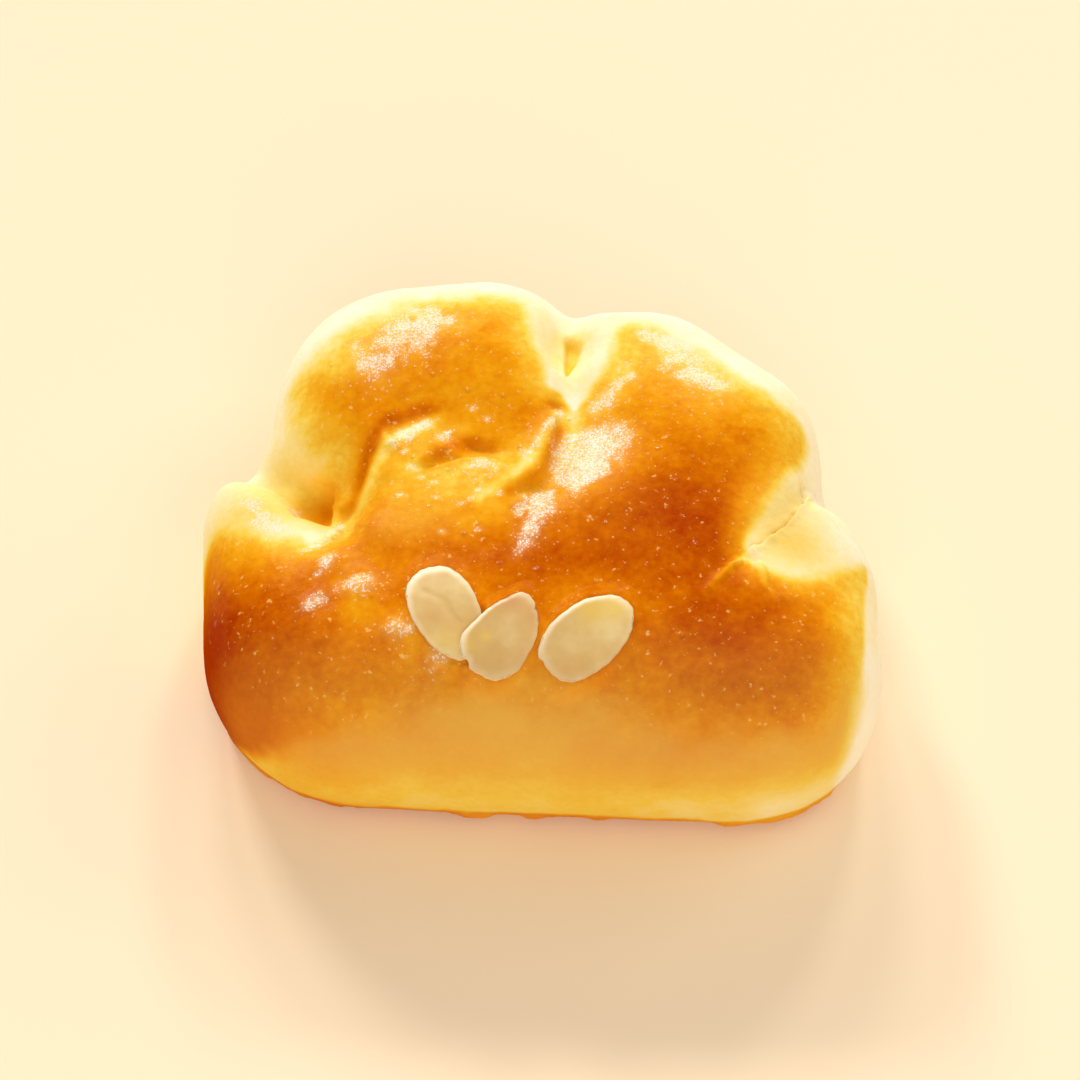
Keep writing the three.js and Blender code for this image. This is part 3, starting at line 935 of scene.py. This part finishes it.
brown += LIP_BROWN * step(4.6, 2.6, z + 1.3 * ragged + 0.7 * patchy) * step(-20, -40, y)
brown += 0.045 * lumps(places, 9, 11) + 0.045 * lumps(places, 3, 12) * (0.3 + glaze)
brown = np.clip(brown, 0, 1)
print("browning from", round(brown.min(), 2), "to", round(brown.max(), 2))

# %% [markdown]
# ## Gloss
# The glaze is glossier in some patches than elsewhere, and there highlights are painted into its colour as
# a pale sheen and a dust of white dots. Closed lines in plan mark these patches, and a few small painted
# glints lie between them. Where no egg came, or it soaked in, the skin is dry and dull; in the right cut the
# same dull veil paints shade. The material reads all this from four attributes.

# %% Gloss
# Glossier patches, where highlights are painted into the colour
GLOSS_AND_HIGHLIGHT_PATCHES = [
    # the softness of the border and a closed line in plan: the crease and the ridges of the middle
    (1.0, [(4.4, 8.6), (10, 8.4), (16.8, 7.4), (14.2, 1.6), (10.6, -4.2), (7, -6.8), (5, -5.2), (3.2, -1)]),
    (0.7, [(1.6, -4.2), (3.4, -6.6), (1.4, -12.6), (-2.4, -19), (-3.4, -17.6), (-1.4, -11.5), (-1, -6)]),
    (0.6, [(-2.2, -5.8), (-1.5, -6.6), (-2.7, -10.4), (-3.6, -9.6)]),
    (0.6, [(-26.2, 8.7), (-23, 10), (-18.8, 11), (-20.2, 9), (-25.4, 7.3)]),
    (0.7, [(-18.6, 7.2), (-14.8, 8.8), (-15.4, 7.4)]),
    (0.7, [(-11.8, 1.6), (-9.5, 3.3), (-7.2, 2), (-6.8, -0.8), (-8.4, 0.4), (-10.1, -0.2)]),
    (0.6, [(-12.2, -2.5), (-10.1, -1.7), (-8.1, -1), (-10, -2.8)]),
    (0.8, [(4.2, 13.5), (1.8, 7.4), (-0.4, 2.2), (-2.6, 0.6), (-1.6, 3.4), (0.8, 8.4)]),
    # the domes of the back lobes
    (2.2, [(-29.5, 24.4), (-28.4, 27.4), (-24.6, 32.6), (-18.5, 35.2), (-15.2, 32.6), (-17.6, 27.8),
           (-22.3, 25)]),
    (1.8, [(-31.2, 22), (-28.6, 24.6), (-26.2, 22.4), (-27.4, 20.2)]),
    (1.8, [(19, 29), (24.5, 30), (31, 22), (33, 17.4), (28.5, 16), (25, 19.4), (21, 24.6)]),
    (1.4, [(9.6, 13.8), (13, 16.6), (16, 20), (17, 19), (14, 15.2), (10.4, 12.8)]),
    # the left lobe, the rim of the pit and the wrinkles of the front
    (1.1, [(-51.6, -2.6), (-49, -3), (-46.6, -5.6), (-43.4, -8.4), (-42.2, -10.8), (-44.6, -11.4),
           (-47.8, -10), (-50.6, -8), (-49.4, -5.8)]),
    (0.7, [(-43.6, -1.8), (-41.6, 0), (-42.2, -2.8)]),
    (0.8, [(-37.4, -21.6), (-35, -17.2), (-33.4, -17.8), (-36, -21.8)]),
    (0.9, [(-38.4, -28), (-36.2, -26.4), (-35.6, -27.2), (-37.6, -28.8)]),
    (1.2, [(-32, -24), (-29.6, -22), (-27.2, -24), (-29.6, -26)]),
    (0.7, [(-26, -33.4), (-23.2, -31.6), (-20.4, -33.4), (-23.4, -35)]),
    (1.0, [(-18.4, -38.4), (-16.8, -37.4), (-15.2, -38.6), (-16.8, -39.4)]),
    (0.8, [(-38.8, -15), (-36.6, -12.4), (-34.6, -6.8), (-33.8, -7), (-35, -12), (-37.6, -15.6)]),
]
# Small painted glints between the patches
PAINTED_GLINTS = [(-20.9, 1.9), (-19.8, 0), (-17.7, -1.7), (-12.9, -7.6), (-11.2, -6.7), (-10, -4.9), (-23.3, -4),
          (-17.1, -5.5), (-6.4, -5.6), (-21.8, 2.8), (-22.8, 5.9), (-16, -13.7), (-9.9, -13.8), (-8.7, 10.6),
          (-11.1, 12.8)]
FAR = 9.0
NEARBY = 6
patch_reach = np.full(len(places), -FAR)
for border, knots in GLOSS_AND_HIGHLIGHT_PATCHES:
    line = smooth_line(knots, closed=True, steps=5)
    close = close_to(plan, line, NEARBY)
    off = np.abs(along_line(plan[close], line)[0]) / border
    patch_reach[close] = np.maximum(patch_reach[close], np.where(inside_loop(plan[close], line), off, -off))
patch_reach += 1.1 * lumps(places, 3.2, 51) + 0.9 * lumps(places, 1.3, 52)
gloss_and_painted_highlight = step(-1.0, 1.6, patch_reach) * (0.82 + 0.4 * lumps(places, 1.6, 53)) + 0.05 * step(-4, 0, patch_reach)
gloss_and_painted_highlight += mound(plan, (-14, -1.5), (7, 4), 0.05) + mound(plan, (15, -10), (12, 8), 0.015)
for spot in PAINTED_GLINTS:
    gloss_and_painted_highlight += mound(plan, spot, (0.65, 0.5), 0.75)
gloss_and_painted_highlight = np.clip(gloss_and_painted_highlight, 0, 1) * (z > UPPER_SKIN)
# Browning is lighter under the painted highlights
brown = np.clip(brown - 0.1 * gloss_and_painted_highlight * glaze, 0, 1)
dry_and_shade = low * (1 - 0.7 * lower) * step(56, 50, x) + 0.25 * (1 - low) * step(-28, -44, y)
# The mound in the right cut darkens it with the dull veil: painted shade
dry_and_shade += mound(plan, (44, -12), (6, 9), 0.9) + mound(plan, (-22, -10), (9, 5), 0.3)
dry_and_shade = np.clip(dry_and_shade + behind * (0.6 + 0.2 * patchy), 0, 1)
keep(crust_mesh, {"browning": brown, "glaze": glaze, "gloss_and_painted_highlight": gloss_and_painted_highlight, "dry_and_shade": dry_and_shade})
print("share with thick wash", round(float((gloss_and_painted_highlight > 0.5).mean()), 3))

# %% [markdown]
# ## Colour of the crust
# Milk bread brushed with egg and baked has an amber skin. A ramp runs from raw cream dough to dark caramel,
# and mottling shifts the place on it, more under the glaze than on bare dough. Dry skin lies under a dull
# floury veil, which in the right cut is painted shade, and pale flecks show where the glaze has lifted.

# %% Colour of the crust
MOTTLE = 1.4
FLECK = 1.1
SHARE, UNDER, OVER, MIXED = 0, 6, 7, 2  # sockets of a colour Mix node: its share, both colours, its result
COLOURS = {"data_type": "RGBA"}
TIMES = {"operation": "MULTIPLY"}
TIMES_PLUS = {"operation": "MULTIPLY_ADD"}
baked_skin, tree, shader = new_material("egg-washed milk bread crust", {
    "IOR": 1.5, "Subsurface Weight": 0.08, "Subsurface Radius": (1.0, 0.5, 0.2),
    "Subsurface Scale": 1.5 * MM})
by_place = {"Vector": (add_node(tree, "TexCoord"), "Object")}
baked, glazed, gloss_and_highlight_share, dull_and_shaded = ((add_node(tree, "Attribute", {"attribute_name": name}), "Fac")
                                 for name in ("browning", "glaze", "gloss_and_painted_highlight", "dry_and_shade"))
mottle = add_node(tree, "TexNoise", inputs={"Scale": 1 / (MOTTLE * MM), "Detail": 4.0}, links=by_place)
centred = add_node(tree, "Math", {"operation": "SUBTRACT"}, {1: 0.5}, {0: (mottle, "Fac")})
uneven = add_node(tree, "MapRange", inputs={"To Min": 0.1, "To Max": 0.26}, links={"Value": glazed})
tone = add_node(tree, "Math", TIMES_PLUS, links={0: (centred, "Value"), 1: (uneven, "Result"), 2: baked})
ramp = add_node(tree, "ValToRGB", links={"Fac": (tone, "Value")})
set_stops(ramp, [(0.0, "#fdf4da"), (0.12, "#f9e496"), (0.25, "#f5cf4b"), (0.36, "#f0b42a"), (0.48, "#eb9f10"),
                 (0.62, "#df8406"), (0.75, "#cd6a00"), (0.87, "#bb5200"), (1.0, "#a83400")])
# The dull veil: dry skin, and painted shade in the right cut
veil = add_node(tree, "Math", TIMES, {1: 0.4}, {0: dull_and_shaded})
matt = add_node(tree, "Mix", COLOURS, {OVER: linear("#d4ae6c")},
                {SHARE: (veil, "Value"), UNDER: (ramp, "Color")})
scales = add_node(tree, "TexNoise", inputs={"Scale": 1 / (FLECK * MM), "Detail": 2.0}, links=by_place)
rare = add_node(tree, "MapRange", inputs={"From Min": 0.645, "From Max": 0.75, "To Max": 0.6},
                links={"Value": (scales, "Fac")})
fleck = add_node(tree, "Math", TIMES, links={0: (rare, "Result"), 1: glazed})
flecked = add_node(tree, "Mix", COLOURS, {OVER: linear("#f8cc7a")},
                   {SHARE: (fleck, "Value"), UNDER: (matt, MIXED)})
print("colour nodes", len(tree.nodes))

# %% [markdown]
# ## Painted highlights of the glaze
# In the glossy patches highlights are painted into the colour: a pale milky sheen, and in it white dots a
# third of a millimetre apart, each of its own strength. On plain glaze a painted glint is rare and faint.

# %% Painted highlights of the glaze
GLINT_SPACING = 0.36
LOOSE_GLINTS = 0.0014
SHEEN_STRENGTH = 0.42
SMOOTH = {"interpolation_type": "SMOOTHSTEP"}
glint_cells = add_node(tree, "TexVoronoi", inputs={"Scale": 1 / (GLINT_SPACING * MM)}, links=by_place)
luck = add_node(tree, "SeparateColor", links={"Color": (glint_cells, "Color")})
glint_dot = add_node(tree, "MapRange", SMOOTH, {"From Min": 0.75, "From Max": 0.4},
                  {"Value": (glint_cells, "Distance")})
amount = add_node(tree, "Math", TIMES_PLUS, {1: LOOSE_GLINTS}, {0: glazed, 2: gloss_and_highlight_share})
chosen = add_node(tree, "Math", {"operation": "LESS_THAN"}, links={0: (luck, "Red"), 1: (amount, "Value")})
faint = add_node(tree, "MapRange", inputs={"From Max": 0.55, "To Min": 0.35, "To Max": 1.0},
                 links={"Value": gloss_and_highlight_share})
strength = add_node(tree, "MapRange", inputs={"To Min": 0.4, "To Max": 1.0}, links={"Value": (luck, "Green")})
painted_glints = (glint_dot, "Result")
for factor in ((chosen, "Value"), (faint, "Result"), (strength, "Result")):
    painted_glints = (add_node(tree, "Math", TIMES, links={0: painted_glints, 1: factor}), "Value")
painted_sheen = add_node(tree, "Math", TIMES, {1: SHEEN_STRENGTH}, {0: gloss_and_highlight_share})
sheened = add_node(tree, "Mix", COLOURS, {OVER: linear("#f6dfae")},
                 {SHARE: (painted_sheen, "Value"), UNDER: (flecked, MIXED)})
# White painted glints over the painted sheen
colour = add_node(tree, "Mix", COLOURS, {OVER: linear("#f7eee8")}, {SHARE: painted_glints, UNDER: (sheened, MIXED)})
print("colour and froth nodes", len(tree.nodes))

# %% [markdown]
# ## Relief and gloss of the crust
# Pores and an uneven peel roughen the skin, and under the glaze small blisters rise, each of its own size.
# Only the blisters and the thick wash mirror the windows clearly, because a mirror all over would hide the
# brown. Bare dough is matt, and a little light passes through the skin.

# %% Relief and gloss of the crust
PORE = 0.28
PEEL = 1.3
BLISTER = 3.0
PLAIN_GLOSS, BLISTER_GLOSS, WASH_GLOSS = 0.012, 1.4, 0.08
pores, peel = (add_node(tree, "TexNoise", inputs={"Scale": 1 / (size * MM), "Detail": 1.0}, links=by_place)
               for size in (PORE, PEEL))
cells = add_node(tree, "TexVoronoi", inputs={"Scale": 1 / (BLISTER * MM)}, links=by_place)
chance = add_node(tree, "SeparateColor", links={"Color": (cells, "Color")})
radius = add_node(tree, "MapRange", inputs={"From Min": 0.62, "From Max": 1.0, "To Max": 0.3},
                  links={"Value": (chance, "Red")})
inner = add_node(tree, "Math", {"operation": "DIVIDE"}, links={0: (cells, "Distance"), 1: (radius, "Result")})
dome = add_node(tree, "MapRange", SMOOTH, {"From Min": 1.0, "From Max": 0.0}, {"Value": (inner, "Value")})
blister = add_node(tree, "Math", TIMES, links={0: (dome, "Result"), 1: (radius, "Result")})
on_glaze = add_node(tree, "Math", TIMES, links={0: (blister, "Value"), 1: glazed})
below = {}
for height, deep in (((pores, "Fac"), 0.045), ((peel, "Fac"), 0.09), ((on_glaze, "Value"), 0.75)):
    relief = add_node(tree, "Bump", inputs={"Strength": 1.0, "Distance": deep * MM},
                      links={"Height": height, **below})
    below = {"Normal": (relief, "Normal")}
rough = add_node(tree, "MapRange", inputs={"To Min": 0.6, "To Max": 0.2}, links={"Value": glazed})
plain = add_node(tree, "Math", TIMES, {1: PLAIN_GLOSS}, {0: glazed})
pearl = add_node(tree, "Math", TIMES_PLUS, {1: BLISTER_GLOSS}, {0: (on_glaze, "Value"), 2: (plain, "Value")})
mirror = add_node(tree, "Math", TIMES_PLUS, {1: WASH_GLOSS}, {0: gloss_and_highlight_share, 2: (pearl, "Value")})
for node, output, name in ((colour, MIXED, "Base Color"), (rough, "Result", "Roughness"),
                           (mirror, "Value", "Specular IOR Level"), (relief, "Normal", "Normal")):
    tree.links.new(node.outputs[output], shader.inputs[name])
crust_mesh.materials.append(baked_skin)
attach(crust, "root")
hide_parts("crust")
print("nodes of the crust", len(tree.nodes))

# %% [markdown]
# ## Sliced almond
# Blanched almond, sliced and toasted a little: ivory clouds with honey and rosy patches, a painted highlight
# on the cut edge where it is lit, a satin face with fine fibres, and a little light passes through it.

# %% Material of the almonds
CLOUD = 7
FIBRE = 0.5
ivory, tree, shader = new_material("blanched sliced almond", {
    "Roughness": 0.42, "IOR": 1.46, "Subsurface Weight": 0.15, "Subsurface Radius": (1.0, 0.7, 0.4),
    "Subsurface Scale": 1.0 * MM})
by_place = {"Vector": (add_node(tree, "TexCoord"), "Object")}
clouds, fibres = (add_node(tree, "TexNoise", inputs={"Scale": 1 / (size * MM), "Detail": 3.0}, links=by_place)
                  for size in (CLOUD, FIBRE))
ramp = add_node(tree, "ValToRGB", links={"Fac": (clouds, "Fac")})
set_stops(ramp, [(0.3, "#d3aa66"), (0.5, "#dbb878"), (0.7, "#e6cd92")])
colour = (ramp, "Color")
# edge: a painted highlight along the lit side of the rim
for name, code in (("honey", "#efcd5e"), ("blush", "#d79a66"), ("edge", "#fff3d8")):
    amount = add_node(tree, "Attribute", {"attribute_name": name})
    tinted = add_node(tree, "Mix", COLOURS, {OVER: linear(code)}, {SHARE: (amount, "Fac"), UNDER: colour})
    colour = (tinted, MIXED)
relief = add_node(tree, "Bump", inputs={"Strength": 0.3, "Distance": 0.05 * MM},
                  links={"Height": (fibres, "Fac")})
tree.links.new(tinted.outputs[MIXED], shader.inputs["Base Color"])
tree.links.new(relief.outputs["Normal"], shader.inputs["Normal"])
for node, piece in slices.items():
    piece.data.materials.append(ivory)
    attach(piece, "root")
    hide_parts(node)
print("slices", [piece.name for piece in slices.values()])
